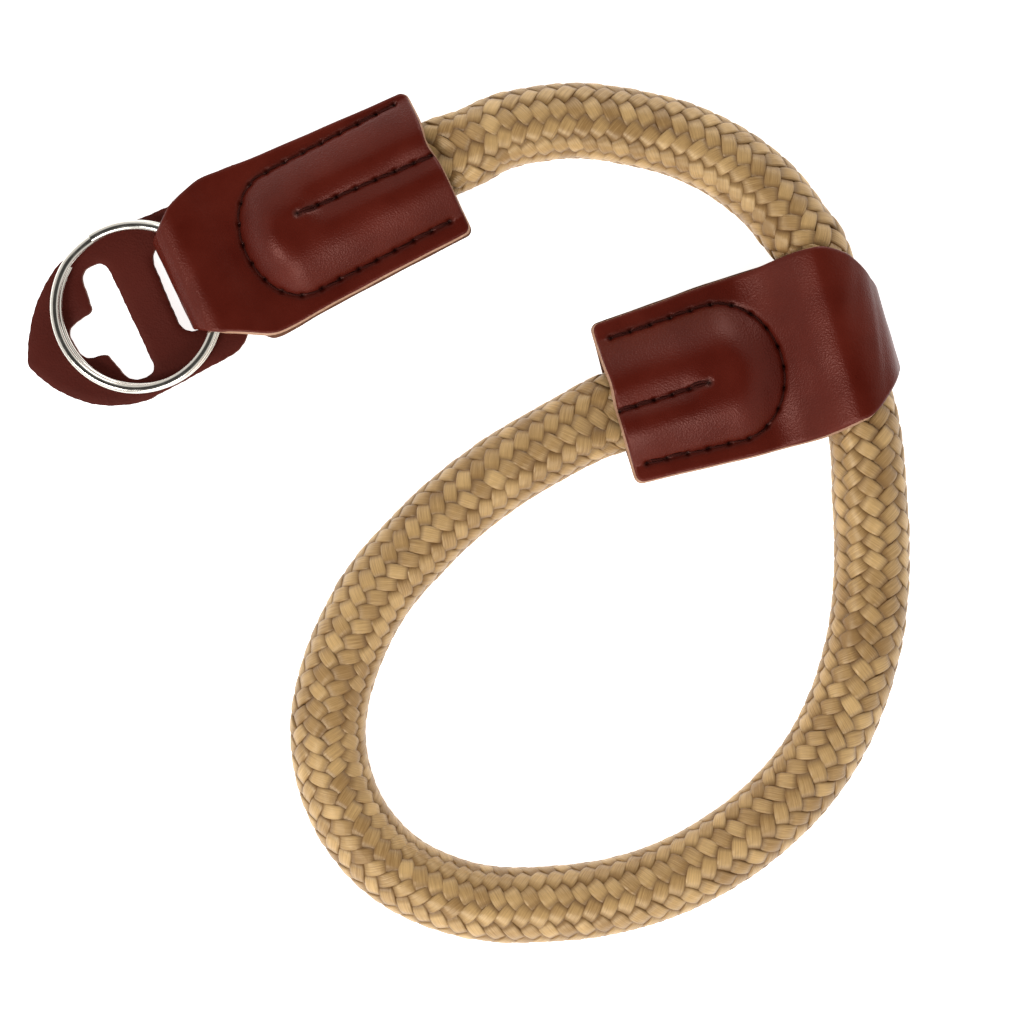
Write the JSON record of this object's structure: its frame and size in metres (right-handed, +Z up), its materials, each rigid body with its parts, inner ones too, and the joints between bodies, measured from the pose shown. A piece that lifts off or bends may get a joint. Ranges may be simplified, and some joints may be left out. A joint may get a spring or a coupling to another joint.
{
  "type": "camera wrist strap",
  "caption": "Camera wrist strap: a thick braided rope loop with a sewn leather slider tab, and a leather end tab that holds a split ring over a leather guard with a T-shaped slot.",
  "frame": {"origin": "middle of the strap's outline, on the surface that the strap lies on", "axes": "+Z up from the surface, +X from the split ring towards the slider tab, +Y from the loop's round end towards the two tabs"},
  "size_m": [0.1277, 0.1242, 0.0146],
  "materials": {
    "rope": "braided yarn with a soft sheen",
    "leather": "smooth, semi-gloss, raw cut edges",
    "steel": "bright nickel plate"
  },
  "bodies": {
    "strap": {"braided_rope": "rope", "ring_tab": "leather", "slider_tab": "leather", "ring_guard": "leather"},
    "ring": {"split_ring": "steel"}
  },
  "joints": [
    {"name": "ring_spin", "type": "hinge", "parent": "strap", "child": "ring", "pos_m": [-0.04805, 0.02971, 0.00429], "axis": [-0.0697, -0.0334, 0.997], "continuous": true}
  ]
}
